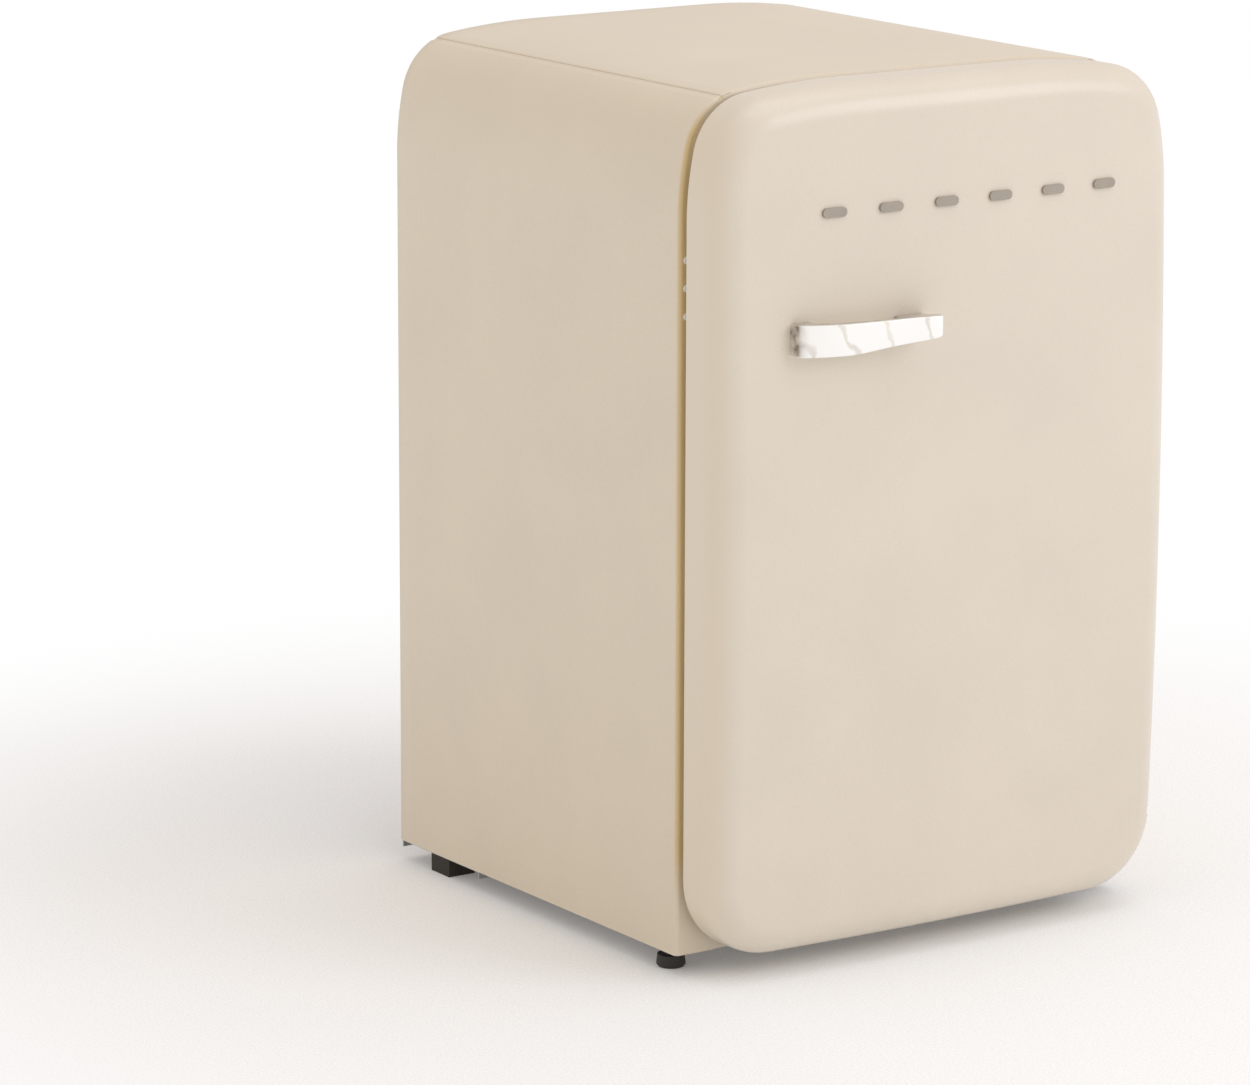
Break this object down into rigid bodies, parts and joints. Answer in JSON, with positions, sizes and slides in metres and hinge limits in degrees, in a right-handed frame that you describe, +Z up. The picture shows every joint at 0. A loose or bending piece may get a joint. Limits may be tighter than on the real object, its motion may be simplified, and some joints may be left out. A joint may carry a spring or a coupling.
{
  "type": "refrigerator",
  "caption": "Retro compact fridge with a rounded cream cabinet, a crowned hinged door with a bar handle, glass shelves, a small ice box and a rear-mounted cooling unit.",
  "frame": {"origin": "on the floor, under the middle of the whole object", "axes": "+Z up; the door faces -Y; +X is to the right of someone facing the door"},
  "size_m": [0.53, 0.624, 0.84],
  "materials": {
    "body_paint": "satin cream enamel",
    "door_paint": "glossy cream enamel",
    "bare_steel": "zinc-plated sheet",
    "black_steel": "black enamel",
    "copper_tube": "drawn copper",
    "white_plastic": "smooth white moulding",
    "clear_plastic": "clear moulding",
    "black_plastic": "fine texture",
    "black_rubber": "moulded rubber",
    "seal_grey": "soft vinyl",
    "foam": "rigid foam",
    "clear_glass": "tempered",
    "marble_white": "polished, marbled",
    "bright_trim": "bright",
    "ice_aluminium": "satin",
    "lens": "frosted"
  },
  "bodies": {
    "cabinet": {"left_side_panel": "body_paint", "right_side_panel": "body_paint", "top_panel": "body_paint", "rear_panel": "bare_steel", "base_pan": "bare_steel", "front_bottom_rail": "body_paint", "cabinet_insulation": "foam", "inner_liner": "white_plastic", "rear_feet": "black_rubber", "compressor_plate": "bare_steel", "compressor": "black_steel", "compressor_grommets": "black_rubber", "compressor_bolts": "bare_steel", "relay_cover": "black_plastic", "condenser_tube": "black_steel", "condenser_wires": "black_steel", "condenser_clips": "black_plastic", "discharge_tube": "copper_tube", "filter_drier": "copper_tube", "suction_tube": "copper_tube", "drip_tray": "black_plastic", "cord_gland": "black_plastic", "top_hinge_bracket": "bare_steel", "top_hinge_pin": "bare_steel", "bottom_hinge_bracket": "bare_steel", "bottom_hinge_pin": "bare_steel", "hinge_screws": "bare_steel", "hinge_hole_plugs": "white_plastic", "lower_shelf": "clear_glass", "lower_shelf_trim": "white_plastic", "upper_shelf": "clear_glass", "upper_shelf_trim": "white_plastic", "crisper_cover": "clear_glass", "crisper_cover_trim": "white_plastic", "ice_box": "ice_aluminium", "ice_box_hangers": "white_plastic", "thermostat_housing": "white_plastic", "lamp_lens": "lens", "lamp_board": "lens", "door_switch": "white_plastic"},
    "door": {"top_hinge_bush": "black_plastic", "bottom_hinge_bush": "black_plastic", "door_skin": "door_paint", "door_insulation": "foam", "door_liner": "white_plastic", "door_gasket": "seal_grey", "bottom_door_rack": "clear_plastic", "middle_door_rack": "clear_plastic", "top_door_rack": "clear_plastic", "door_handle": "marble_white", "trim_bars": "bright_trim"},
    "crisper": {"crisper_drawer": "clear_plastic"},
    "ice_flap": {"ice_box_flap": "clear_plastic"},
    "dial": {"thermostat_dial": "white_plastic"},
    "plunger": {"door_switch_plunger": "white_plastic"},
    "left_foot": {"front_left_foot": "black_plastic"},
    "right_foot": {"front_right_foot": "black_plastic"}
  },
  "joints": [
    {"name": "door_hinge", "type": "hinge", "parent": "cabinet", "child": "door", "pos_m": [0.25, -0.233, 0.39], "axis": [0, 0, 1], "range_deg": [0, 120]},
    {"name": "crisper_slide", "type": "slide", "parent": "cabinet", "child": "crisper", "axis": [0, -1, 0], "range_m": [0, 0.15]},
    {"name": "ice_flap_hinge", "type": "hinge", "parent": "cabinet", "child": "ice_flap", "pos_m": [0, -0.091, 0.7745], "axis": [-1, 0, 0], "range_deg": [0, 85]},
    {"name": "thermostat_turn", "type": "hinge", "parent": "cabinet", "child": "dial", "pos_m": [0.1915, -0.04, 0.632], "axis": [-1, 0, 0], "range_deg": [0, 300]},
    {"name": "door_switch_travel", "type": "slide", "parent": "cabinet", "child": "plunger", "axis": [0, -1, 0], "range_m": [0, 0.005]},
    {"name": "left_foot_turn", "type": "hinge", "parent": "cabinet", "child": "left_foot", "pos_m": [-0.247, -0.164, 0], "axis": [0, 0, 1], "continuous": true},
    {"name": "right_foot_turn", "type": "hinge", "parent": "cabinet", "child": "right_foot", "pos_m": [0.247, -0.164, 0], "axis": [0, 0, 1], "continuous": true}
  ],
  "couplings": [
    {"joint": "crisper_slide", "follows": "door_hinge", "m_per_rad": 0.0716},
    {"joint": "door_switch_travel", "follows": "door_hinge", "m_per_rad": 0.00238}
  ]
}
